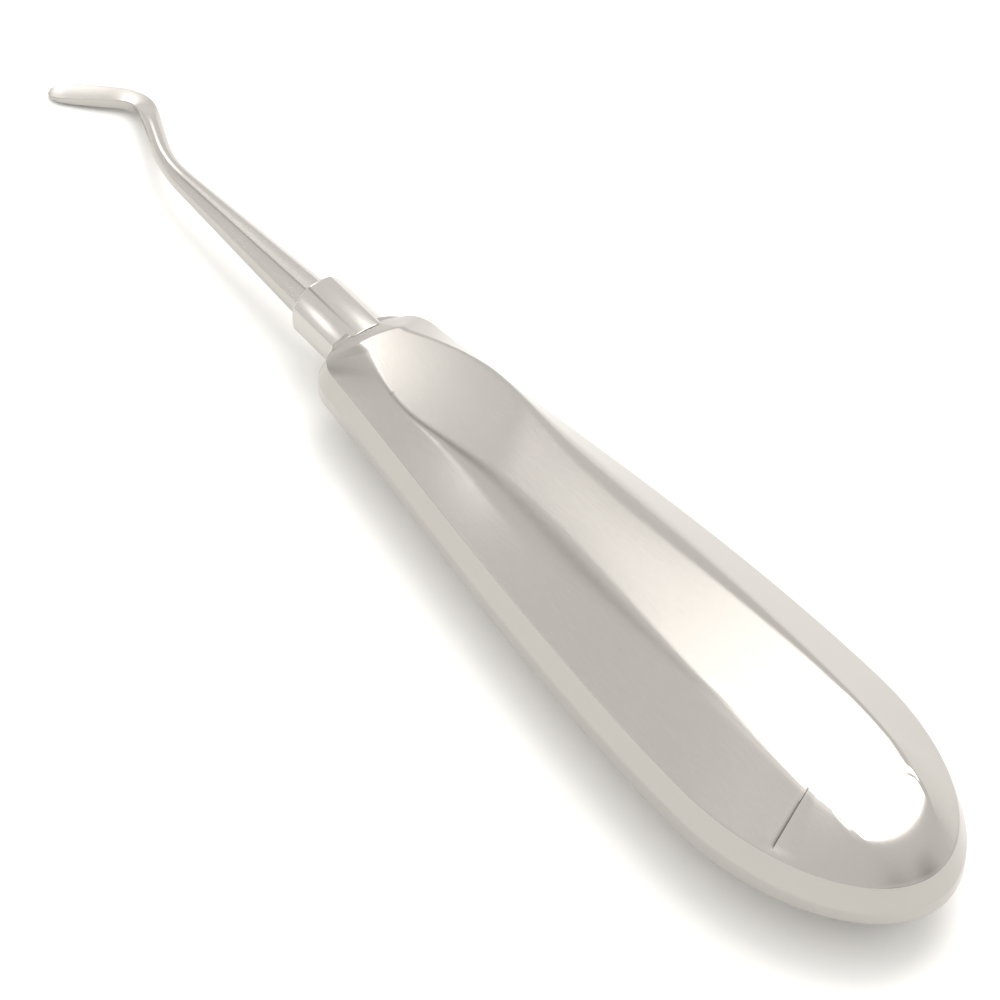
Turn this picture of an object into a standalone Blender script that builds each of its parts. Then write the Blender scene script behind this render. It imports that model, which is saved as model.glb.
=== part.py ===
"""Angled dental root elevator with a hollow faceted stainless steel handle.

Run with: blender --background --python part.py
The handle is modelled along its own long axis (+X towards the blade, x = 0 at the butt), and the
whole instrument is then laid on its lower flat by one parent empty. Sizes are in millimetres.
"""

import math

import bmesh
import bpy
from mathutils import Vector

MM = 0.001

# Handle: plan outline
HALF_WIDTH = 12.4        # widest half width
WIDEST_X = 22.0          # distance from the butt to the widest point; the butt is half an ellipse
NOSE_START_X = 84.0      # where the straight flank turns into the rounded nose
NOSE_HALF_WIDTH = 7.1
FLANK_SLOPE = -0.10      # slope of the flank where it meets the nose
FACE_X = 88.4            # flat front face
FACE_HALF_WIDTH = 4.2

# Handle: heights above the middle plane
TOP_AT_BUTT = 7.9        # height of the long flat, carried back to x = 0
TOP_TAPER = 0.0154       # the long flat comes down by this much per millimetre
FLAT_HALF_WIDTH = 5.2
CROWN = 0.9              # how far the long flat rolls off at its edges near the nose
SLOPE_START_X = 64.5     # the front slope begins here
SLOPE_END_X = 84.0
SLOPE_END_HEIGHT = 4.25
BEVEL_END_HEIGHT = 2.75  # height of the top of the front face
UPPER_RIM_HEIGHT = 2.9   # height of the rim beside the widest part, above the seam
LOWER_RIM_HEIGHT = 2.3   # and below the seam
UPPER_RIM_INSET = 0.85   # the rim rolls inwards by this much at its edge
LOWER_RIM_INSET = 0.45
CREASE_X = 12.6          # the flank facet ends here on the long flat, and the butt facet begins
RIDGE_X = 8.2            # corner of the long flat at the butt
RIDGE_HALF_WIDTH = 4.1
FLAT_END_X = 6.4

# Handle: construction
SHELL_WALL = 1.0
SEAM_GAP = 0.05
BODY_CENTRE_X = 44.0

# Tang, socket, bulkhead and pin
TANG_SIDE = 3.0
TANG_REAR_X = 62.0
SOCKET_DIAMETER = 4.5
SOCKET_REAR_X = 58.0
SOCKET_BORE_GAP = 0.1
FRONT_HOLE_GAP = 0.1
BULKHEAD_X = 60.0
BULKHEAD_THICKNESS = 1.2
BULKHEAD_GAP = 0.12
PIN_DIAMETER = 1.6
PIN_X = 78.0
PIN_GAP = 0.05

# Bolster
BOLSTER_REAR_X = 87.3
BOLSTER_LENGTH = 8.9
BOLSTER_FLATS = 6.6
BOLSTER_CHAMFER = 0.5
BOLSTER_BORE_GAP = 0.1
BOLSTER_SEAT_GAP = 0.05   # round the rear of the collar, where the shells take it in

# Shank, neck and blade: places on the centre line, with the size across the flats
SHANK_START = Vector((BOLSTER_REAR_X + BOLSTER_LENGTH + 0.05, 0.0, -0.3))
FIRST_BEND = Vector((124.3, -0.1, -1.7))
SECOND_BEND = Vector((137.1, -5.5, -4.4))
BLADE_TIP = Vector((145.1, 1.5, -5.2))
SHANK_FLATS = 4.4
FIRST_BEND_FLATS = 1.95
NECK_FLATS = 2.2
BLADE_WIDTH = 2.65
BLADE_THICKNESS = 1.2
TIP_THICKNESS = 0.4
BEND_RADIUS = 3.0

STEEL = (0.80, 0.78, 0.75)
WELD_GREY = (0.55, 0.53, 0.51)


def clear_scene():
    for obj in list(bpy.data.objects):
        bpy.data.objects.remove(obj, do_unlink=True)


def steel(name, colour, roughness):
    material = bpy.data.materials.new(name)
    material.use_nodes = True
    shader = material.node_tree.nodes["Principled BSDF"]
    shader.inputs["Base Color"].default_value = (*colour, 1.0)
    shader.inputs["Metallic"].default_value = 1.0
    shader.inputs["Roughness"].default_value = roughness
    material.diffuse_color = (*colour, 1.0)
    return material


def new_object(name, mesh_data, material, parent):
    mesh = bpy.data.meshes.new(name)
    bmesh.ops.recalc_face_normals(mesh_data, faces=mesh_data.faces)
    mesh_data.to_mesh(mesh)
    mesh_data.free()
    mesh.materials.append(material)
    obj = bpy.data.objects.new(name, mesh)
    bpy.context.scene.collection.objects.link(obj)
    obj.parent = parent
    return obj


def cut(target, cutter):
    """Take the cutter's volume out of the target."""
    modifier = target.modifiers.new("cut_" + cutter.name, "BOOLEAN")
    modifier.operation = "DIFFERENCE"
    modifier.solver = "EXACT"
    modifier.object = cutter
    cutter.hide_render = True
    cutter.display_type = "WIRE"


def smooth(value):
    value = min(1.0, max(0.0, value))
    return value * value * (3.0 - 2.0 * value)


def flank_half_width(x):
    """Half width from the widest point to the nose, as one cubic."""
    length = NOSE_START_X - WIDEST_X
    t = (x - WIDEST_X) / length
    blend = smooth(t)
    return (1 - blend) * HALF_WIDTH + blend * NOSE_HALF_WIDTH + (t**3 - t**2) * FLANK_SLOPE * length


def rim_height(x, side):
    """Height of the rim from the seam, upwards for side 1 and downwards for side -1."""
    rear = UPPER_RIM_HEIGHT
    if side < 0:
        rear = LOWER_RIM_HEIGHT - 0.8 * (1 - smooth(x / 20.0))
    return rear - 0.5 * smooth((x - 40.0) / 44.0)


def rim_inset(side):
    return UPPER_RIM_INSET if side > 0 else LOWER_RIM_INSET


def outline():
    """Plan outline from the butt round one side to the front face, as (x, y, outward normal)."""
    points = []
    for i in range(17):
        angle = math.radians(90.0 * i / 16)
        points.append(Vector((WIDEST_X * (1 - math.cos(angle)), HALF_WIDTH * math.sin(angle))))
    for i in range(1, 17):
        x = WIDEST_X + (NOSE_START_X - WIDEST_X) * i / 16
        points.append(Vector((x, flank_half_width(x))))
    for i in range(1, 7):
        angle = math.radians(90.0 * i / 6)
        x = NOSE_START_X + (FACE_X - NOSE_START_X) * math.sin(angle)
        y = FACE_HALF_WIDTH + (NOSE_HALF_WIDTH - FACE_HALF_WIDTH) * math.cos(angle)
        points.append(Vector((x, y)))
    return points


def top_height(x):
    return TOP_AT_BUTT - TOP_TAPER * x


def flat_edge(x_outline):
    """The point of the long flat's edge that faces a point of the outline, as (x, y)."""
    if x_outline < 11.0:
        blend = math.sqrt(max(0.0, x_outline) / 11.0)
        if blend < 0.3:
            t = blend / 0.3
            return (FLAT_END_X + (RIDGE_X - FLAT_END_X) * t, RIDGE_HALF_WIDTH * t)
        t = (blend - 0.3) / 0.7
        return (RIDGE_X + (CREASE_X - RIDGE_X) * t, RIDGE_HALF_WIDTH + 0.7 * t)
    t = (x_outline - 11.0) / (NOSE_START_X - 11.0)
    x = CREASE_X + (NOSE_START_X - CREASE_X) * min(t, 1.0)
    widening = smooth((x - CREASE_X) / 14.0)
    y = RIDGE_HALF_WIDTH + 0.7 + (FLAT_HALF_WIDTH - RIDGE_HALF_WIDTH - 0.7) * widening
    narrowing = smooth((x - 70.0) / 18.0)
    if x_outline > NOSE_START_X:
        x = x_outline
        narrowing = 0.85
    return (x, y - 3.2 * narrowing)


def half_body(wall, half):
    """Closed half of the handle, moved inwards by the wall thickness.

    It is built above the seam for both halves; half is 1 for the upper and -1 for the lower one.
    """
    body = bmesh.new()
    shrink_x = 1 - wall / BODY_CENTRE_X
    shrink_y = 1 - wall / HALF_WIDTH
    shrink_z = 1 - wall / TOP_AT_BUTT
    points = outline()
    loops = [[], [], [], [], [], []]
    for i, point in enumerate(points):
        before = points[max(i - 1, 0)]
        after = points[min(i + 1, len(points) - 1)]
        along = (after - before).normalized()
        if i == 0:
            along = Vector((0.0, 1.0))
        inward = Vector((along.y, -along.x))
        rim = rim_height(point.x, half)
        inset = rim_inset(half)
        flat_x, flat_y = flat_edge(point.x)
        flat_x = min(flat_x, FACE_X)
        crown = CROWN * smooth((flat_x - 42.0) / 30.0)
        top = top_height(flat_x)
        middle = point + inward * inset * 0.3
        upper = point + inward * inset
        loops[0].append((point.x, point.y, 0.0))
        loops[1].append((middle.x, max(middle.y, 0.0) if i else 0.0, rim * 0.55))
        loops[2].append((upper.x, max(upper.y, 0.0) if i else 0.0, rim))
        loops[3].append((flat_x, flat_y, top - crown))
        loops[4].append((flat_x, flat_y * 0.5, top - crown * 0.25))
        loops[5].append((flat_x, 0.0, top))

    def place(x, y, z):
        return (
            (BODY_CENTRE_X + (x - BODY_CENTRE_X) * shrink_x) * MM,
            y * shrink_y * MM,
            z * shrink_z * MM,
        )

    for side in (1, -1):
        grid = []
        for loop in loops:
            grid.append([body.verts.new(place(x, y * side, z)) for x, y, z in loop])
        for low, high in zip(grid, grid[1:]):
            for i in range(len(low) - 1):
                body.faces.new((low[i], low[i + 1], high[i + 1], high[i]))
        front = [row[-1] for row in grid]
        for low, high in zip(front, front[1:]):
            foot_low = body.verts.new((low.co.x, 0.0, low.co.z))
            foot_high = body.verts.new((high.co.x, 0.0, high.co.z))
            body.faces.new((low, foot_low, foot_high, high))
        for i in range(len(grid[0]) - 1):
            low = grid[0][i]
            high = grid[0][i + 1]
            foot_low = body.verts.new((low.co.x, 0.0, 0.0))
            foot_high = body.verts.new((high.co.x, 0.0, 0.0))
            body.faces.new((low, foot_low, foot_high, high))
    bmesh.ops.remove_doubles(body, verts=body.verts, dist=0.00001)
    bmesh.ops.dissolve_degenerate(body, edges=body.edges, dist=0.00001)
    slope = (top_height(SLOPE_START_X) - SLOPE_END_HEIGHT) / (SLOPE_END_X - SLOPE_START_X)
    bevel = (SLOPE_END_HEIGHT - BEVEL_END_HEIGHT) / (FACE_X - SLOPE_END_X)
    for grade in (slope, bevel):
        on_plane = Vector((SLOPE_END_X * MM, 0.0, (SLOPE_END_HEIGHT - wall) * MM))
        outward = Vector((grade, 0.0, 1.0)).normalized()
        geometry = body.verts[:] + body.edges[:] + body.faces[:]
        result = bmesh.ops.bisect_plane(
            body, geom=geometry, plane_co=on_plane, plane_no=outward, clear_outer=True
        )
        edges = [item for item in result["geom_cut"] if isinstance(item, bmesh.types.BMEdge)]
        bmesh.ops.edgenet_fill(body, edges=edges)
    return body


def ring(body, centre, across, up, outline_points):
    """A ring of vertices: outline points are (sideways, upwards) distances from the centre."""
    verts = []
    for sideways, upwards in outline_points:
        verts.append(body.verts.new((centre + across * sideways + up * upwards) * MM))
    return verts


def bridge(body, rings):
    for first, second in zip(rings, rings[1:]):
        count = len(first)
        for i in range(count):
            body.faces.new((first[i], first[(i + 1) % count], second[(i + 1) % count], second[i]))
    body.faces.new(rings[0])
    body.faces.new(rings[-1])


def octagon(width, height, corner):
    """Octagonal section: corner is the part of each half size that the chamfers take."""
    x = width / 2
    y = height / 2
    cut_x = x * corner
    cut_y = y * corner
    return [
        (x, y - cut_y), (x - cut_x, y), (-x + cut_x, y), (-x, y - cut_y),
        (-x, -y + cut_y), (-x + cut_x, -y), (x - cut_x, -y), (x, -y + cut_y),
    ]


REGULAR = 2 - math.sqrt(2)
SIDE = Vector((0.0, 1.0, 0.0))
UP = Vector((0.0, 0.0, 1.0))


def straight(sections):
    """Closed solid along X from (x, outline points) sections."""
    body = bmesh.new()
    bridge(body, [ring(body, Vector((x, 0.0, 0.0)), SIDE, UP, points) for x, points in sections])
    return body


def circle(diameter, count):
    points = []
    for i in range(count):
        angle = 2 * math.pi * (i + 0.5) / count
        points.append((diameter / 2 * math.cos(angle), diameter / 2 * math.sin(angle)))
    return points


def working_path():
    """Centre line from the bolster to the blade tip, with both bends as arcs."""
    corners = [SHANK_START, FIRST_BEND, SECOND_BEND, BLADE_TIP]
    path = [SHANK_START]
    for before, corner, after in zip(corners, corners[1:], corners[2:]):
        incoming = (corner - before).normalized()
        outgoing = (after - corner).normalized()
        for i in range(9):
            t = i / 8
            start = corner - incoming * BEND_RADIUS
            end = corner + outgoing * BEND_RADIUS
            path.append(start * (1 - t) ** 2 + corner * 2 * t * (1 - t) + end * t**2)
    blade = (BLADE_TIP - SECOND_BEND).normalized()
    last = path[-1]
    length = (BLADE_TIP - last).length
    for share in (0.35, 0.7, 0.85, 0.93, 0.98, 1.0):
        path.append(last + blade * length * share)
    return path


def working_end(material, parent):
    body = bmesh.new()
    tang = octagon(TANG_SIDE, TANG_SIDE, 0.18)
    rings = []
    for x in (TANG_REAR_X, SHANK_START.x):
        rings.append(ring(body, Vector((x, 0.0, 0.0)), SIDE, UP, tang))
    path = working_path()
    first_bend = (FIRST_BEND - SHANK_START).length
    second_bend = first_bend + (SECOND_BEND - FIRST_BEND).length
    total = second_bend + (BLADE_TIP - SECOND_BEND).length
    distance = 0.0
    for i, point in enumerate(path):
        before = path[max(i - 1, 0)]
        after = path[min(i + 1, len(path) - 1)]
        along = (after - before).normalized()
        if i == 0:
            along = Vector((1.0, 0.0, 0.0))
        across = UP.cross(along).normalized()
        upward = along.cross(across).normalized()
        distance += (point - before).length
        if distance < first_bend:
            t = distance / first_bend
            width = SHANK_FLATS + (FIRST_BEND_FLATS - SHANK_FLATS) * t
            height = width
            corner = REGULAR
        elif distance < second_bend:
            t = (distance - first_bend) / (second_bend - first_bend)
            width = FIRST_BEND_FLATS + (NECK_FLATS - FIRST_BEND_FLATS) * t
            height = width
            corner = REGULAR
        else:
            t = (distance - second_bend) / (total - second_bend)
            blend = smooth(t / 0.35)
            rounding = math.sqrt(max(0.0, 1 - (max(0.0, t - 0.86) / 0.14) ** 2))
            width = (NECK_FLATS + (BLADE_WIDTH - NECK_FLATS) * blend) * max(rounding, 0.25)
            height = NECK_FLATS + (BLADE_THICKNESS - NECK_FLATS) * blend
            height += (TIP_THICKNESS - BLADE_THICKNESS) * smooth((t - 0.4) / 0.6)
            corner = REGULAR + (0.35 - REGULAR) * blend
        rings.append(ring(body, point, across, upward, octagon(width, height, corner)))
    bridge(body, rings)
    return new_object("working_end", body, material, parent)


def bolster(material, parent):
    front_x = BOLSTER_REAR_X + BOLSTER_LENGTH
    small = BOLSTER_FLATS - 1.0
    body = straight([
        (BOLSTER_REAR_X, octagon(BOLSTER_FLATS - 0.5, BOLSTER_FLATS - 0.5, REGULAR)),
        (BOLSTER_REAR_X + 0.3, octagon(BOLSTER_FLATS, BOLSTER_FLATS, REGULAR)),
        (front_x - BOLSTER_CHAMFER, octagon(BOLSTER_FLATS, BOLSTER_FLATS, REGULAR)),
        (front_x, octagon(small, small, REGULAR)),
    ])
    collar = new_object("bolster_collar", body, material, parent)
    cutter = tang_cutter("bolster_bore_cutter", BOLSTER_BORE_GAP, material, parent)
    cut(collar, cutter)
    return collar


def tang_cutter(name, gap, material, parent):
    side = TANG_SIDE + 2 * gap
    profile = octagon(side, side, 0.18)
    body = straight([(TANG_REAR_X - 1.0, profile), (SHANK_START.x + 2.0, profile)])
    return new_object(name, body, material, parent)


def rod_cutter(name, diameter, start_x, end_x, material, parent):
    body = straight([(start_x, circle(diameter, 32)), (end_x, circle(diameter, 32))])
    return new_object(name, body, material, parent)


def tang_socket(material, parent):
    body = straight([
        (SOCKET_REAR_X, circle(SOCKET_DIAMETER, 32)),
        (BOLSTER_REAR_X - 0.1, circle(SOCKET_DIAMETER, 32)),
    ])
    socket = new_object("tang_socket", body, material, parent)
    cut(socket, tang_cutter("socket_bore_cutter", SOCKET_BORE_GAP, material, parent))
    return socket


def cross_rod(name, diameter, length, material, parent):
    """A rod along Y at the pin's place."""
    body = bmesh.new()
    rings = []
    for y in (-length / 2, length / 2):
        centre = Vector((PIN_X, y, 0.0))
        rings.append(ring(body, centre, Vector((1.0, 0.0, 0.0)), UP, circle(diameter, 20)))
    bridge(body, rings)
    return new_object(name, body, material, parent)


def bulkhead(material, parent):
    """A plate across the inside of both shells, slid over the rear of the socket."""
    scale_y = 1 - SHELL_WALL / HALF_WIDTH
    scale_z = 1 - SHELL_WALL / TOP_AT_BUTT
    x = BULKHEAD_X
    half_width = flank_half_width(x) * scale_y - BULKHEAD_GAP - 0.1
    rim = rim_height(x, 1) * scale_z
    lower_rim = rim_height(x, -1) * scale_z
    inset = rim_inset(1)
    lower_inset = rim_inset(-1)
    top = (top_height(x) - CROWN) * scale_z - BULKHEAD_GAP - 0.1
    flat = flat_edge(x)[1] * scale_y - 0.3
    profile = [
        (half_width, 0.0), (half_width - inset, rim), (flat, top), (-flat, top),
        (-half_width + inset, rim), (-half_width, 0.0), (-half_width + lower_inset, -lower_rim),
        (-flat, -top), (flat, -top), (half_width - lower_inset, -lower_rim),
    ]
    body = straight([(x - BULKHEAD_THICKNESS / 2, profile), (x + BULKHEAD_THICKNESS / 2, profile)])
    plate = new_object("socket_bulkhead", body, material, parent)
    hole = SOCKET_DIAMETER + 2 * FRONT_HOLE_GAP
    cut(plate, rod_cutter("bulkhead_hole_cutter", hole, x - 2.0, x + 2.0, material, parent))
    return plate


def shell(name, side, material, parent):
    """One pressed half of the handle: side is 1 for the upper half and -1 for the lower half."""
    outer = new_object(name, half_body(0.0, side), material, parent)
    inner = new_object(name + "_hollow_cutter", half_body(SHELL_WALL, side), material, parent)
    hole = SOCKET_DIAMETER + 2 * FRONT_HOLE_GAP
    rod = rod_cutter(name + "_hole_cutter", hole, FACE_X - 6.0, FACE_X + 2.0, material, parent)
    slab = straight([
        (-5.0, [(-20.0, -1.0), (20.0, -1.0), (20.0, SEAM_GAP / 2), (-20.0, SEAM_GAP / 2)]),
        (95.0, [(-20.0, -1.0), (20.0, -1.0), (20.0, SEAM_GAP / 2), (-20.0, SEAM_GAP / 2)]),
    ])
    seam = new_object(name + "_seam_cutter", slab, material, parent)
    seat_flats = BOLSTER_FLATS + 2 * BOLSTER_SEAT_GAP
    recess = straight([
        (BOLSTER_REAR_X - BOLSTER_SEAT_GAP, octagon(seat_flats, seat_flats, REGULAR)),
        (FACE_X + 2.0, octagon(seat_flats, seat_flats, REGULAR)),
    ])
    seat = new_object(name + "_seat_cutter", recess, material, parent)
    if side < 0:
        for obj in (outer, inner, rod, seam, seat):
            for vertex in obj.data.vertices:
                vertex.co.z = -vertex.co.z
            obj.data.flip_normals()
    for cutter in (inner, rod, seam, seat):
        cut(outer, cutter)
    return outer


def build():
    clear_scene()
    satin = steel("satin_steel", STEEL, 0.30)
    polished = steel("polished_steel", STEEL, 0.22)
    plain = steel("plain_steel", WELD_GREY, 0.45)
    lying = bpy.data.objects.new("lying_instrument", None)
    bpy.context.scene.collection.objects.link(lying)
    tilt = math.atan(TOP_TAPER)
    lying.rotation_euler = (0.0, tilt, 0.0)
    lying.location = (-72.875 * MM, 0.0, TOP_AT_BUTT * math.cos(tilt) * MM)
    shell("handle_upper_shell", 1, satin, lying)
    shell("handle_lower_shell", -1, satin, lying)
    socket = tang_socket(plain, lying)
    tip = working_end(polished, lying)
    bolster(polished, lying)
    bulkhead(plain, lying)
    cross_rod("tang_pin", PIN_DIAMETER, SOCKET_DIAMETER - 0.4, plain, lying)
    hole = cross_rod("pin_hole_cutter", PIN_DIAMETER + 2 * PIN_GAP, 12.0, plain, lying)
    cut(socket, hole)
    cut(tip, hole)


build()
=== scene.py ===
import math

import bmesh
import bpy
from mathutils import Matrix, Vector


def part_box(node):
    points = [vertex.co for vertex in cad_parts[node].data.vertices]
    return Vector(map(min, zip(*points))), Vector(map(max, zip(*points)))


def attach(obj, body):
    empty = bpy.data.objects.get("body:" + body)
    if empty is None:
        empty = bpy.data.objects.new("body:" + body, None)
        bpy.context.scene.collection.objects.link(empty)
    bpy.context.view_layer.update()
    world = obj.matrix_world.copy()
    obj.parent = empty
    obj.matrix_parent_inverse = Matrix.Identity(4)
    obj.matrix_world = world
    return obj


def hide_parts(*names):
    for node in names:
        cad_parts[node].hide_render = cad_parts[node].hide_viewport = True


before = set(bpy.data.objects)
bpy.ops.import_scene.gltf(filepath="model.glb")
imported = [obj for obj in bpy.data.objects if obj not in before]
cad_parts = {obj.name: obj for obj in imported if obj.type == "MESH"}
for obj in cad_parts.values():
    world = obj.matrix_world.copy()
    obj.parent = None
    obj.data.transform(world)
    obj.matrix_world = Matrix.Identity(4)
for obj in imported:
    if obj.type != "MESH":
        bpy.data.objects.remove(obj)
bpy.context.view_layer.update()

# ---------------------------------------------------------------------------------------------
# Table, studio and camera.
# The instrument lies on a white laminate table under one soft box, in a bright room with a few
# softer lights and darks, so each ground facet of the steel picks up its own grey.
# ---------------------------------------------------------------------------------------------

TABLE_HEX = "#F7F7F6"
TABLE_HALF_SIZE = 1.6


def linear(hex_colour):
    """An sRGB hex colour as a linear RGBA colour."""
    channels = []
    for start in (1, 3, 5):
        value = int(hex_colour[start:start + 2], 16) / 255
        channels.append(value / 12.92 if value <= 0.04045 else ((value + 0.055) / 1.055) ** 2.4)
    return (*channels, 1.0)


def add_node(tree, kind, settings=None, **inputs):
    """Add a node: settings are its properties, inputs its sockets, as values or linked sockets."""
    node = tree.nodes.new(kind)
    for name, value in (settings or {}).items():
        setattr(node, name, value)
    for name, value in inputs.items():
        key = int(name[1:]) if name[0] == "_" else name.replace("_", " ")
        if isinstance(value, bpy.types.NodeSocket):
            tree.links.new(value, node.inputs[key])
        else:
            node.inputs[key].default_value = value
    return node


def empty_material(name):
    """A new material with no nodes, and its node tree."""
    material = bpy.data.materials.new(name)
    material.use_nodes = True
    material.node_tree.nodes.clear()
    return material, material.node_tree


def laminate_table():
    """White laminate table top: a matt surface with a very slight mottling."""
    material, tree = empty_material("white_table")
    place = add_node(tree, "ShaderNodeTexCoord")
    mottle = add_node(tree, "ShaderNodeTexNoise", Vector=place.outputs["Object"], Scale=60.0)
    rough = add_node(
        tree, "ShaderNodeMapRange", Value=mottle.outputs[0], To_Min=0.62, To_Max=0.70
    )
    shader = add_node(
        tree, "ShaderNodeBsdfPrincipled", Base_Color=linear(TABLE_HEX), Roughness=rough.outputs[0]
    )
    shader.inputs["Specular IOR Level"].default_value = 0.2
    add_node(tree, "ShaderNodeOutputMaterial", Surface=shader.outputs[0])
    return material


def direction(azimuth, elevation):
    """Unit vector: azimuth in degrees from +X towards +Y, elevation above the table."""
    flat = math.cos(math.radians(elevation))
    angle = math.radians(azimuth)
    return Vector((flat * math.cos(angle), flat * math.sin(angle), math.sin(math.radians(elevation))))


ROOM_LEVEL = 1.16
# Each soft light or dark in the room: azimuth, elevation, angular spread in degrees, strength.
ROOM_LIGHTS = (
    (-44.5, 50.5, 6.0, 4.20),
    (-18.0, 26.5, 4.4, 6.20),
    (48.5, 21.0, 3.0, 2.50),
    (60.0, 70.0, 18.0, 0.80),
    (12.0, 42.0, 12.0, -0.60),
    (-155.0, 16.0, 16.0, -0.75),
    (165.0, 20.0, 15.0, -0.75),
)


def build_room():
    """The bright room that the steel mirrors, with each soft light or dark added to its level."""
    world = bpy.data.worlds.new("studio")
    bpy.context.scene.world = world
    world.use_nodes = True
    tree = world.node_tree
    tree.nodes.clear()
    place = add_node(tree, "ShaderNodeTexCoord")
    level = None
    for azimuth, elevation, spread, strength in ROOM_LIGHTS:
        sharpness = 1 / (1 - math.cos(math.radians(spread)))
        facing = add_node(
            tree, "ShaderNodeVectorMath", {"operation": "DOT_PRODUCT"},
            _0=place.outputs["Generated"], _1=direction(azimuth, elevation),
        )
        fall = add_node(
            tree, "ShaderNodeMath", {"operation": "MULTIPLY_ADD"},
            _0=facing.outputs["Value"], _1=sharpness, _2=-sharpness,
        )
        glow = add_node(tree, "ShaderNodeMath", {"operation": "EXPONENT"}, _0=fall.outputs[0])
        before = level.outputs[0] if level else ROOM_LEVEL
        level = add_node(
            tree, "ShaderNodeMath", {"operation": "MULTIPLY_ADD"},
            _0=glow.outputs[0], _1=strength, _2=before,
        )
    sky = add_node(tree, "ShaderNodeBackground", Color=linear("#FFFDFA"), Strength=level.outputs[0])
    add_node(tree, "ShaderNodeOutputWorld", Surface=sky.outputs[0])


def soft_box(name, centre, target, size, power):
    """A square soft box aimed at the instrument."""
    data = bpy.data.lights.new(name, "AREA")
    data.shape = "SQUARE"
    data.size = size
    data.energy = power
    data.color = linear("#FFFCF8")[:3]
    light = bpy.data.objects.new(name, data)
    bpy.context.scene.collection.objects.link(light)
    light.location = centre
    light.rotation_euler = (target - centre).to_track_quat("-Z", "Y").to_euler()


def build_table():
    """The square white table top under the instrument."""
    mesh = bpy.data.meshes.new("table_top")
    half = TABLE_HALF_SIZE
    corners = [(-half, -half, 0.0), (half, -half, 0.0), (half, half, 0.0), (-half, half, 0.0)]
    mesh.from_pydata(corners, [], [(0, 1, 2, 3)])
    mesh.materials.append(laminate_table())
    table = bpy.data.objects.new("table_top", mesh)
    bpy.context.scene.collection.objects.link(table)


# The handle's own frame: millimetres along its axis from the butt, laid on its lower flat.
TOP_AT_BUTT = 7.9
TOP_TAPER = 0.0154
TILT = math.atan(TOP_TAPER)
BUTT_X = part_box("handle_upper_shell")[0][0] + 0.00002
LAY = (
    Matrix.Translation((BUTT_X, 0.0, 0.001 * TOP_AT_BUTT * math.cos(TILT)))
    @ Matrix.Rotation(TILT, 4, "Y")
    @ Matrix.Scale(0.001, 4)
)

CAMERA_PLACE = Vector((-185.9, 183.8, 316.3))
CAMERA_TARGET = Vector((62.5, 2.0, 0.8))
CAMERA_VIEW_DEGREES = 12.43
KEY_DIRECTION = (-78.0, 71.0)
KEY_DISTANCE = 0.75
KEY_SIZE = 0.45
KEY_WATTS = 2.3


def build_camera():
    """The camera, placed in the handle's own frame."""
    data = bpy.data.cameras.new("camera")
    data.sensor_width = 36.0
    data.angle = math.radians(CAMERA_VIEW_DEGREES)
    data.clip_start = 0.01
    data.clip_end = 10.0
    camera = bpy.data.objects.new("camera", data)
    bpy.context.scene.collection.objects.link(camera)
    look = (CAMERA_TARGET - CAMERA_PLACE).to_track_quat("-Z", "Y").to_matrix().to_4x4()
    camera.matrix_world = (LAY @ Matrix.Translation(CAMERA_PLACE) @ look).normalized()
    bpy.context.scene.camera = camera


build_room()
build_table()
build_camera()
key_place = direction(*KEY_DIRECTION) * KEY_DISTANCE
soft_box("key_soft_box", key_place, Vector((0.0, 0.0, 0.0)), KEY_SIZE, KEY_WATTS)
bpy.context.scene.view_settings.view_transform = "Standard"

# ---------------------------------------------------------------------------------------------
# Handle shells.
# Two half shells pressed from 1 mm stainless sheet, welded along the edge, ground flush and
# then faceted on a belt. The last pass is a fine satin belt that leaves soft facet edges.
# ---------------------------------------------------------------------------------------------

HALF_WIDTH = 12.39
WIDEST_X = 22.0
NOSE_START_X = 84.0
NOSE_HALF_WIDTH = 7.1
FLANK_SLOPE = -0.10
FACE_X = 88.4
FACE_HALF_WIDTH = 4.2
SHEET = 1.0
HOLE_RADIUS = 2.35
SEAM_GAP = 0.002

# Edge of the long flat and of the front slope, as (x, half width), from crease to front bevel.
FLAT_EDGE = (
    (12.6, 4.9), (15.6, 5.05), (26.0, 5.2), (42.0, 4.9), (60.0, 4.5), (67.0, 4.75),
    (73.0, 5.0), (77.0, 4.5), (80.5, 3.6), (84.0, 2.4),
)
FACE_FLAT_HALF_WIDTH = 2.0
REAR_CORNER = Vector((8.2, 4.1))
FLAT_REAR_X = 6.4
CREASE_CENTRE_X = 13.9
UPPER_RIM_INSET = 0.85
LOWER_RIM_INSET = 0.45
UPPER_RIM_HEIGHT = 2.9
STEP_DEPTH = 0.08
CREASE_DEPTH = 0.26
BUTT_FULLNESS = 0.6
RIDGE_HALF_WIDTH = 3.5
CREASE_OUTLINE_X = 11.2
FLANK_END_X = 80.0
FLAT_END_X = 77.0
NOSE_TURN_DEGREES = 40.0
CREASE_SHARE = 0.994
CHAMFER_STEPS = 22
FLAT_STEPS = 20
MIDDLE_X = 44.0

TOP_REAR_HEIGHT = 7.83
TOP_BOW = 0.00055
SLOPE_END_X = 84.0
SLOPE_END_HEIGHT = 4.25
SLOPE_END_GRADE = 0.17
SLOPE_BOW = 0.0036
SLOPE_ROLL = 0.05
FACE_HEIGHT = 2.75
BEVEL_GRADE = 0.44
BEVEL_ROLL = 0.02


def smooth(value):
    """Ease from 0 to 1, level at both ends."""
    value = min(1.0, max(0.0, value))
    return value * value * (3.0 - 2.0 * value)


def mix(first, second, share):
    """The value at a share of the way from first to second."""
    return first + (second - first) * share


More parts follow.
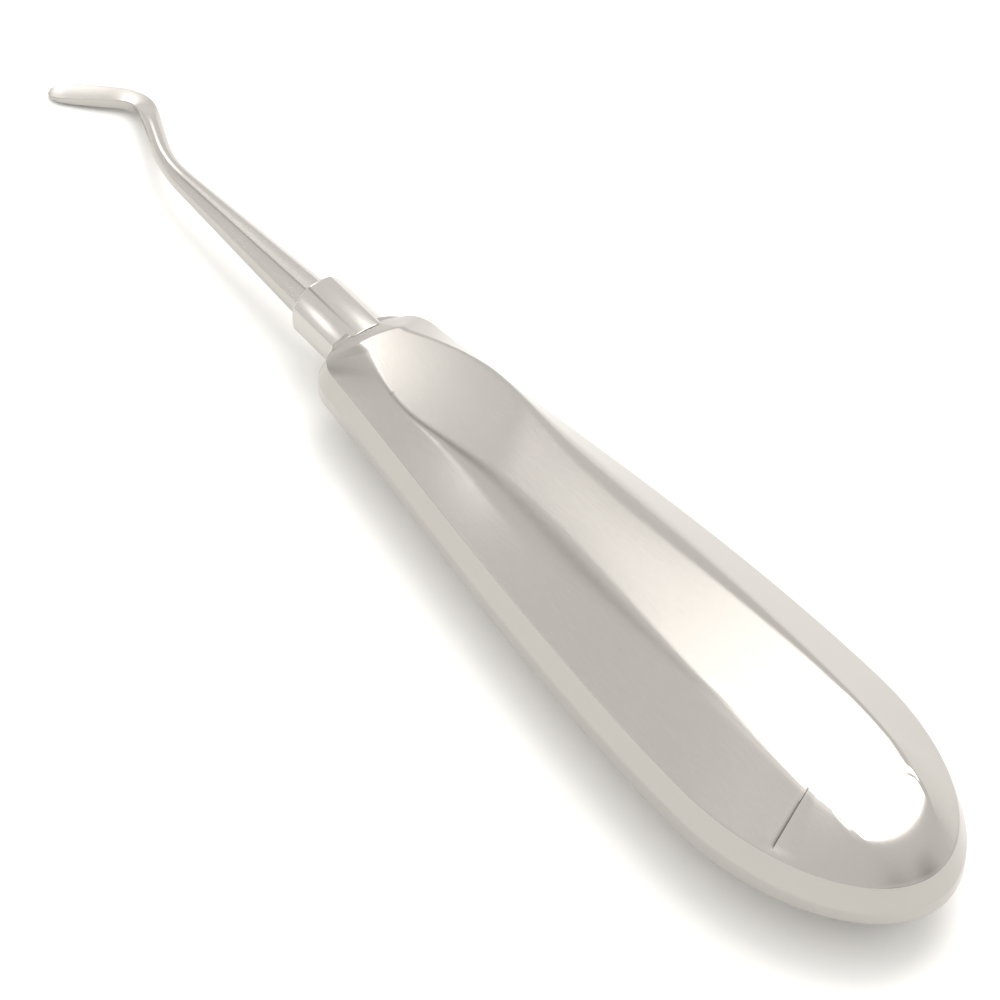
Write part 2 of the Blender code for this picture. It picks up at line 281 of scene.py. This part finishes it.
def flank_half_width(x):
    """Half width of the plan outline from its widest point to the nose, as one cubic."""
    length = NOSE_START_X - WIDEST_X
    t = (x - WIDEST_X) / length
    return mix(HALF_WIDTH, NOSE_HALF_WIDTH, smooth(t)) + (t**3 - t**2) * FLANK_SLOPE * length


def on_curve(points, x):
    """Height at x of a smooth curve through the points."""
    for i in range(len(points) - 1):
        if x <= points[i + 1][0] or i == len(points) - 2:
            break
    x0, y0 = points[i]
    x1, y1 = points[i + 1]
    before = points[max(i - 1, 0)]
    after = points[min(i + 2, len(points) - 1)]
    t = (x - x0) / (x1 - x0)
    start = (y1 - before[1]) / (x1 - before[0]) * (x1 - x0)
    end = (after[1] - y0) / (after[0] - x0) * (x1 - x0)
    square = t * t
    cube = square * t
    return (
        (2 * cube - 3 * square + 1) * y0 + (cube - 2 * square + t) * start
        + (3 * square - 2 * cube) * y1 + (cube - square) * end
    )


def rim_height(x, up):
    """Height of the rounded rim above or below the seam; the lower one thins out at the butt."""
    rear = UPPER_RIM_HEIGHT
    if up < 0:
        rear = 1.5 + 0.8 * smooth(x / 20.0)
    return rear - 0.5 * smooth((x - 40.0) / 44.0)


def soft_min(first, second, radius):
    """The lower of two heights, rounded off where they are closer than the radius."""
    gap = max(radius - abs(first - second), 0.0) / radius
    return min(first, second) - gap * gap * radius * 0.25


def roof_height(x, y, up):
    """Height of the long flat, the front slope and the front bevel; the lower flat is plane."""
    forward = max(x - 8.0, 0.0)
    flat = TOP_REAR_HEIGHT - 0.5 * TOP_BOW * forward**2
    flat = flat - 0.2 * smooth((x - 35.0) / 20.0) * (y / 5.0) ** 2
    if up < 0:
        flat = TOP_AT_BUTT - TOP_TAPER * x
    back = SLOPE_END_X - x
    slope = SLOPE_END_HEIGHT + SLOPE_END_GRADE * back - 0.5 * SLOPE_BOW * back**2
    slope -= SLOPE_ROLL * y + 0.004 * y * y
    bevel = FACE_HEIGHT + (FACE_X - x) * BEVEL_GRADE - BEVEL_ROLL * y * y
    return soft_min(soft_min(flat, slope, 0.12), bevel, 0.08)


def butt(angle):
    """Point of the plan outline round the butt, by its angle from the rear end."""
    return Vector((WIDEST_X * (1 - math.cos(angle)), HALF_WIDTH * math.sin(angle)))


def nose(angle):
    """Point of the plan outline round the nose, by its angle from the flank."""
    reach = FACE_X - NOSE_START_X
    fall = NOSE_HALF_WIDTH - FACE_HALF_WIDTH
    return Vector((NOSE_START_X + reach * math.sin(angle), FACE_HALF_WIDTH + fall * math.cos(angle)))


def handle_stations():
    """(outline point, flat edge point, centre line x, softness, step) from butt to face."""
    ridge_angle = math.asin(RIDGE_HALF_WIDTH / HALF_WIDTH)
    crease_angle = math.acos(1 - CREASE_OUTLINE_X / WIDEST_X)
    crease = Vector(FLAT_EDGE[0])
    stations = []
    for i in range(25):
        t = i / 24
        edge = Vector((mix(FLAT_REAR_X, REAR_CORNER.x, t * t), REAR_CORNER.y * t))
        stations.append((butt(ridge_angle * t), edge, mix(11.5, 12.5, t), mix(1.8, 1.0, t**3), 0.0))
    for t in [i / 60 for i in range(1, 60)] + [0.988, CREASE_SHARE, 1.0]:
        step = CREASE_DEPTH if t == CREASE_SHARE else STEP_DEPTH * smooth((t - 0.75) / 0.23)
        soft = mix(1.0, 0.15, smooth(t * 3))
        point = butt(mix(ridge_angle, crease_angle, t))
        stations.append((point, REAR_CORNER.lerp(crease, t), mix(12.5, CREASE_CENTRE_X, t), soft, step))
    for i in range(1, 201):
        t = i / 200
        x = mix(CREASE_OUTLINE_X, FLANK_END_X, t)
        point = Vector((x, flank_half_width(x)))
        if x < WIDEST_X:
            point = butt(math.acos(1 - x / WIDEST_X))
        edge_x = mix(crease.x, FLAT_END_X, t)
        edge = Vector((edge_x, on_curve(FLAT_EDGE, edge_x)))
        soft = mix(0.15, 1.3, smooth((edge_x - 13.0) / 40.0))
        soft = mix(soft, 0.25, smooth((edge_x - 56.0) / 20.0))
        step = -0.05 * max(0.0, 1.0 - (edge_x - crease.x) / 3.0)
        centre = max(edge_x, mix(CREASE_CENTRE_X, 20.0, min(1.0, t * 11)))
        stations.append((point, edge, centre, soft, step))
    turn = math.radians(NOSE_TURN_DEGREES)
    for i in range(1, 61):
        t = i / 60
        x = mix(FLANK_END_X, NOSE_START_X, min(1.0, t / 0.5))
        point = Vector((x, flank_half_width(x)))
        if t > 0.5:
            point = nose(turn * (t - 0.5) / 0.5)
        edge_x = mix(FLAT_END_X, SLOPE_END_X, t)
        stations.append((point, Vector((edge_x, on_curve(FLAT_EDGE, edge_x))), edge_x, 0.15, 0.0))
    for i in range(1, 31):
        t = i / 30
        edge_x = mix(SLOPE_END_X, FACE_X, t)
        edge = Vector((edge_x, mix(FLAT_EDGE[-1][1], FACE_FLAT_HALF_WIDTH, t)))
        stations.append((nose(mix(turn, math.pi / 2, t)), edge, edge_x, 0.15, 0.0))
    return stations


def rounded(corners, radii, bend_steps):
    """Points along a polyline whose inner corners are rounded off by the radii."""
    points = [corners[0]]
    for i in range(1, len(corners) - 1):
        before = corners[i - 1] - corners[i]
        after = corners[i + 1] - corners[i]
        radius = min(radii[i - 1], before.length * 0.48, after.length * 0.48)
        enter = corners[i] + before.normalized() * radius
        leave = corners[i] + after.normalized() * radius
        for k in range(bend_steps + 1):
            t = k / bend_steps
            points.append(enter * (1 - t) ** 2 + corners[i] * 2 * t * (1 - t) + leave * t**2)
    return points


def shell_rows(side, up):
    """Rows of points of the outer surface on one side of the centre line, seam to centre."""
    stations = handle_stations()
    last = len(stations) - 1
    rows = []
    for i, (point, edge, centre_x, soft, step) in enumerate(stations):
        along = (stations[min(i + 1, last)][0] - stations[max(i - 1, 0)][0]).normalized()
        inward = Vector((along.y, -along.x))
        if i == 0:
            inward = Vector((1.0, 0.0))
        if i == last:
            inward = Vector((0.0, -1.0))
        rim = rim_height(point.x, up)
        upper = point + inward * (UPPER_RIM_INSET if up > 0 else LOWER_RIM_INSET)
        edge_height = roof_height(edge.x, edge.y * side, up)
        corners = [
            Vector((point.x, point.y, SEAM_GAP / 2)),
            Vector((point.x, point.y, rim * (0.1 if up > 0 else 0.8))),
            Vector((upper.x, upper.y, rim)),
            Vector((edge.x, edge.y, edge_height)),
        ]
        points = rounded(corners, (0.25, 0.07), 5)
        foot = points.pop()
        climb = (edge_height - foot.z) / (edge - foot.xy).length
        flat_run = edge - foot.xy
        across = Vector((centre_x, 0.0)) - edge
        row = [Vector((place.x, place.y * side, place.z)) for place in points]
        for k in range(CHAMFER_STEPS + FLAT_STEPS + 1):
            if k <= CHAMFER_STEPS:
                plan = foot.xy + flat_run * (k / CHAMFER_STEPS)
                distance = (k / CHAMFER_STEPS) * flat_run.length
            else:
                share = (k - CHAMFER_STEPS) / FLAT_STEPS
                plan = edge + across * share
                distance = flat_run.length + across.length * share
            facet = foot.z + climb * distance
            if distance < flat_run.length:
                part = distance / flat_run.length
                fullness = BUTT_FULLNESS * max(0.0, 1 - point.x / CREASE_OUTLINE_X)
                facet += fullness * 4 * part * (1 - part)
            if side > 0 and distance > 0.4:
                facet -= step * min(1.0, (distance - 0.4) / 0.3)
            height = soft_min(facet, roof_height(plan.x, plan.y * side, up), soft)
            row.append(Vector((plan.x, plan.y * side, max(height, foot.z + 0.02 * k))))
        rows.append(row)
    return rows


def sheet_inside(place):
    """The matching point on the inner face of the sheet."""
    return Vector((
        MIDDLE_X + (place.x - MIDDLE_X) * (1 - SHEET / MIDDLE_X),
        place.y * (1 - SHEET / HALF_WIDTH),
        SEAM_GAP / 2 + (place.z - SEAM_GAP / 2) * (1 - SHEET / TOP_AT_BUTT),
    ))


def half_shell(name, up):
    """One closed half shell, up = 1 for the upper and -1 for the lower one."""
    body = bmesh.new()
    for side in (1, -1):
        rows = shell_rows(side, up)
        outer = [[body.verts.new(place) for place in row] for row in rows]
        inner = [[body.verts.new(sheet_inside(place)) for place in row] for row in rows]
        last = len(rows) - 1
        count = len(rows[0])
        outer_hole = []
        inner_hole = []
        for k in range(count):
            angle = math.pi / 2 * k / (count - 1)
            y = HOLE_RADIUS * math.cos(angle) * side
            z = max(HOLE_RADIUS * math.sin(angle), SEAM_GAP / 2)
            outer_hole.append(body.verts.new((rows[last][0].x, y, z)))
            inner_hole.append(body.verts.new((inner[last][0].co.x, y, z)))
        outer.append(outer_hole)
        inner.append(inner_hole)
        for i in range(last + 1):
            for k in range(count - 1):
                body.faces.new((outer[i][k], outer[i + 1][k], outer[i + 1][k + 1], outer[i][k + 1]))
                body.faces.new((inner[i][k], inner[i][k + 1], inner[i + 1][k + 1], inner[i + 1][k]))
            body.faces.new((outer[i][0], inner[i][0], inner[i + 1][0], outer[i + 1][0]))
        for k in range(count - 1):
            body.faces.new((outer_hole[k], inner_hole[k], inner_hole[k + 1], outer_hole[k + 1]))
    bmesh.ops.remove_doubles(body, verts=body.verts, dist=0.0003)
    for vertex in body.verts:
        vertex.co.z *= up
        vertex.co = LAY @ vertex.co
    bmesh.ops.recalc_face_normals(body, faces=body.faces)
    return finished_mesh(name, body, 60.0)


def finished_mesh(name, body, sharp_angle):
    """An object from the mesh being built, smooth except at edges over the angle in degrees."""
    mesh = bpy.data.meshes.new(name)
    body.to_mesh(mesh)
    body.free()
    mesh.shade_smooth()
    mesh.set_sharp_from_angle(angle=math.radians(sharp_angle))
    piece = bpy.data.objects.new(name, mesh)
    bpy.context.scene.collection.objects.link(piece)
    return piece


# Each scratch is this many times as long as it is wide.
GRAIN_STRETCH = 14


def satin_steel(name, colour_hex, roughness, grain_mm, grain_depth):
    """Abraded stainless steel: short scratches along the length, grain_mm wide, soften glints."""
    material, tree = empty_material(name)
    place = add_node(tree, "ShaderNodeTexCoord")
    stretch = add_node(
        tree, "ShaderNodeMapping", Vector=place.outputs["Object"],
        Scale=(
            1.0 / (grain_mm * 0.001 * GRAIN_STRETCH),
            1.0 / (grain_mm * 0.001),
            1.0 / (grain_mm * 0.001),
        ),
    )
    grain = add_node(tree, "ShaderNodeTexNoise", Vector=stretch.outputs[0], Scale=1.0, Detail=3.0)
    cloud = add_node(tree, "ShaderNodeTexNoise", Vector=place.outputs["Object"], Scale=90.0, Detail=2.0)
    both = add_node(
        tree, "ShaderNodeMath", {"operation": "MULTIPLY_ADD"},
        _0=cloud.outputs[0], _1=0.5, _2=grain.outputs[0],
    )
    rough = add_node(
        tree, "ShaderNodeMapRange", Value=both.outputs[0], From_Min=0.4, From_Max=1.1,
        To_Min=roughness - 0.035, To_Max=roughness + 0.035,
    )
    tint = add_node(
        tree, "ShaderNodeMapRange", Value=both.outputs[0], From_Min=0.4, From_Max=1.1,
        To_Min=0.97, To_Max=1.03,
    )
    colour = add_node(
        tree, "ShaderNodeVectorMath", {"operation": "SCALE"},
        _0=linear(colour_hex)[:3], Scale=tint.outputs[0],
    )
    bump = add_node(
        tree, "ShaderNodeBump", Height=grain.outputs[0], Strength=grain_depth, Distance=0.00002,
    )
    shader = add_node(
        tree, "ShaderNodeBsdfPrincipled", Base_Color=colour.outputs[0], Metallic=1.0,
        Roughness=rough.outputs[0], Normal=bump.outputs[0],
    )
    add_node(tree, "ShaderNodeOutputMaterial", Surface=shader.outputs[0])
    return material


belt_finish = satin_steel("satin_belt_finish", "#AEABA7", 0.21, 0.12, 0.25)
for shell_name, node_name, up in (
    ("upper_half_shell", "handle_upper_shell", 1),
    ("lower_half_shell", "handle_lower_shell", -1),
):
    shell_piece = half_shell(shell_name, up)
    shell_piece.data.materials.append(belt_finish)
    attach(shell_piece, "root")
    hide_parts(node_name)

# ---------------------------------------------------------------------------------------------
# Collar and working end.
# The shank, neck and blade are one forging, cranked to one side and flattened into the blade,
# with an octagonal collar behind it. Hand finishing leaves flats slightly full, edges rounded.
# ---------------------------------------------------------------------------------------------

REGULAR = 2 - math.sqrt(2)
COLLAR_REAR_X = 87.3
COLLAR_LENGTH = 8.9
COLLAR_FLATS = 6.6
COLLAR_REAR_RADIUS = 0.12
COLLAR_FRONT_RADIUS = 0.55
SHANK_FLATS = 4.4
FIRST_BEND_FLATS = 1.95
NECK_FLATS = 2.2
BLADE_ROOT_WIDTH = 2.1
BLADE_WIDTH = 2.65
BLADE_ROOT_THICKNESS = 1.2
TIP_THICKNESS = 0.4
SHANK_START = Vector((COLLAR_REAR_X + COLLAR_LENGTH - 0.2, 0.0, -0.3))
FIRST_BEND = Vector((124.3, -0.1, -1.7))
SECOND_BEND = Vector((137.1, -5.5, -4.4))
BLADE_TIP = Vector((145.1, 1.5, -5.2))
FIRST_BEND_RADIUS = 4.0
SECOND_BEND_RADIUS = 3.2
TANG_REAR_X = 62.0
TANG_SIDE = 3.0


def octagon(width, height, corner):
    """Corners of an octagonal section; corner is the share of each half size it cuts away."""
    x = width / 2
    y = height / 2
    cut_x = x * corner
    cut_y = y * corner
    return [
        Vector((x, y - cut_y)), Vector((x - cut_x, y)), Vector((-x + cut_x, y)),
        Vector((-x, y - cut_y)), Vector((-x, -y + cut_y)), Vector((-x + cut_x, -y)),
        Vector((x - cut_x, -y)), Vector((x, -y + cut_y)),
    ]


def polished(corners, radius, fullness):
    """A section whose corners are rounded and whose flats bulge outwards a little."""
    points = []
    count = len(corners)
    for i in range(count):
        before = corners[i - 1] - corners[i]
        after = corners[(i + 1) % count] - corners[i]
        reach = min(radius, before.length * 0.4, after.length * 0.4)
        enter = corners[i] + before.normalized() * reach
        leave = corners[i] + after.normalized() * reach
        for k in range(5):
            t = k / 4
            points.append(enter * (1 - t) ** 2 + corners[i] * 2 * t * (1 - t) + leave * t**2)
        following = corners[(i + 2) % count] - corners[(i + 1) % count]
        end_reach = min(radius, after.length * 0.4, following.length * 0.4)
        end = corners[(i + 1) % count] - after.normalized() * end_reach
        out = Vector((after.y, -after.x)).normalized()
        if out.dot(corners[i]) < 0:
            out = -out
        for k in range(1, 6):
            t = k / 6
            points.append(leave.lerp(end, t) + out * fullness * after.length * 4 * t * (1 - t))
    return points


def loft(name, rings):
    """A closed body through rings of points, with its two ends filled."""
    body = bmesh.new()
    loops = [[body.verts.new(LAY @ point) for point in ring] for ring in rings]
    count = len(loops[0])
    for low, high in zip(loops, loops[1:]):
        for k in range(count):
            body.faces.new((low[k], low[(k + 1) % count], high[(k + 1) % count], high[k]))
    body.faces.new(loops[0])
    body.faces.new(loops[-1])
    bmesh.ops.recalc_face_normals(body, faces=body.faces)
    return finished_mesh(name, body, 60.0)


def section_ring(centre, along, points):
    """The points of a flat section, stood square to a direction at a centre."""
    across = Vector((0.0, 0.0, 1.0)).cross(along).normalized()
    upward = along.cross(across).normalized()
    return [centre + across * point.x + upward * point.y for point in points]


def collar_rings():
    """Rings of the collar, rounded over at its rear and front ends."""
    along = Vector((1.0, 0.0, 0.0))
    rings = []
    rear = (COLLAR_REAR_X, -1, COLLAR_REAR_RADIUS)
    front = (COLLAR_REAR_X + COLLAR_LENGTH, 1, COLLAR_FRONT_RADIUS)
    for end, turn, radius in (rear, front):
        steps = []
        for k in range(9):
            angle = math.pi / 2 * k / 8
            inset = radius * (1 - math.cos(angle))
            depth = radius * (1 - math.sin(angle))
            steps.append((end - turn * depth, COLLAR_FLATS - 2 * inset))
        if turn < 0:
            steps.reverse()
        for x, flats in steps:
            section = polished(octagon(flats, flats, REGULAR), 0.35, 0.022)
            rings.append(section_ring(Vector((x, 0.0, 0.0)), along, section))
    return rings


def working_path():
    """Centre line from the collar to the blade tip, with both bends rounded."""
    path = []
    for k in range(41):
        path.append(SHANK_START.lerp(FIRST_BEND, k / 40 * 0.84))
    corners = [SHANK_START, FIRST_BEND, SECOND_BEND, BLADE_TIP]
    for i, reach in ((1, FIRST_BEND_RADIUS), (2, SECOND_BEND_RADIUS)):
        enter = corners[i] + (corners[i - 1] - corners[i]).normalized() * reach
        leave = corners[i] + (corners[i + 1] - corners[i]).normalized() * reach
        first = path[-1]
        for k in range(1, 9):
            path.append(first.lerp(enter, k / 8))
        for k in range(1, 15):
            t = k / 14
            path.append(enter * (1 - t) ** 2 + corners[i] * 2 * t * (1 - t) + leave * t**2)
    first = path[-1]
    for k in range(1, 41):
        path.append(first.lerp(BLADE_TIP, math.sin(math.pi / 2 * k / 40)))
    return path


def working_rings():
    """Rings from the tang along the shank and neck to the blade tip."""
    rings = []
    tang = polished(octagon(TANG_SIDE, TANG_SIDE, 0.18), 0.1, 0.0)
    for x in (TANG_REAR_X, SHANK_START.x - 0.1):
        rings.append(section_ring(Vector((x, 0.0, 0.0)), Vector((1.0, 0.0, 0.0)), tang))
    path = working_path()
    shank_length = (FIRST_BEND - SHANK_START).length
    neck_length = (SECOND_BEND - FIRST_BEND).length
    total = sum((after - before).length for before, after in zip(path, path[1:]))
    blade_start = total - (BLADE_TIP - SECOND_BEND).length
    travelled = 0.0
    for i, point in enumerate(path):
        travelled += (point - path[max(i - 1, 0)]).length
        along = (path[min(i + 1, len(path) - 1)] - path[max(i - 1, 0)]).normalized()
        if i == 0:
            along = Vector((1.0, 0.0, 0.0))
        thin = min(1.0, travelled / shank_length)
        neck = smooth((travelled - shank_length) / neck_length)
        flats = mix(mix(SHANK_FLATS, FIRST_BEND_FLATS, thin), NECK_FLATS, neck)
        t = (travelled - blade_start) / (total - blade_start)
        forged = smooth((t + 0.55) / 0.5)
        end = math.sqrt(max(0.0, 1 - (max(0.0, t - 0.80) / 0.20) ** 2))
        blade_width = mix(BLADE_ROOT_WIDTH, BLADE_WIDTH, smooth(t / 0.7)) * max(end, 0.02)
        blade_thickness = mix(BLADE_ROOT_THICKNESS, TIP_THICKNESS, max(0.0, t) ** 1.5) * max(end, 0.3)
        width = mix(flats, blade_width, forged)
        height = mix(flats, blade_thickness, forged)
        section = octagon(width, height, mix(REGULAR, 0.10, forged))
        section = polished(section, mix(0.25, 0.06, forged), mix(0.02, 0.012, forged))
        rings.append(section_ring(point, along, section))
    return rings


hand_polish = satin_steel("hand_polished_steel", "#BBB8B4", 0.12, 0.10, 0.15)
fine_satin = satin_steel("fine_satin_steel", "#B4B1AD", 0.25, 0.10, 0.15)
collar = loft("polished_collar", collar_rings())
working_end = loft("forged_working_end", working_rings())
for piece, node_name, finish in (
    (collar, "bolster_collar", hand_polish),
    (working_end, "working_end", fine_satin),
):
    piece.data.materials.append(finish)
    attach(piece, "root")
    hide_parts(node_name)

plain = satin_steel("machined_steel", "#A8A49F", 0.38, 0.15, 0.3)
for node_name in ("tang_socket", "socket_bulkhead", "tang_pin"):
    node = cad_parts[node_name]
    node.data.materials.clear()
    node.data.materials.append(plain)
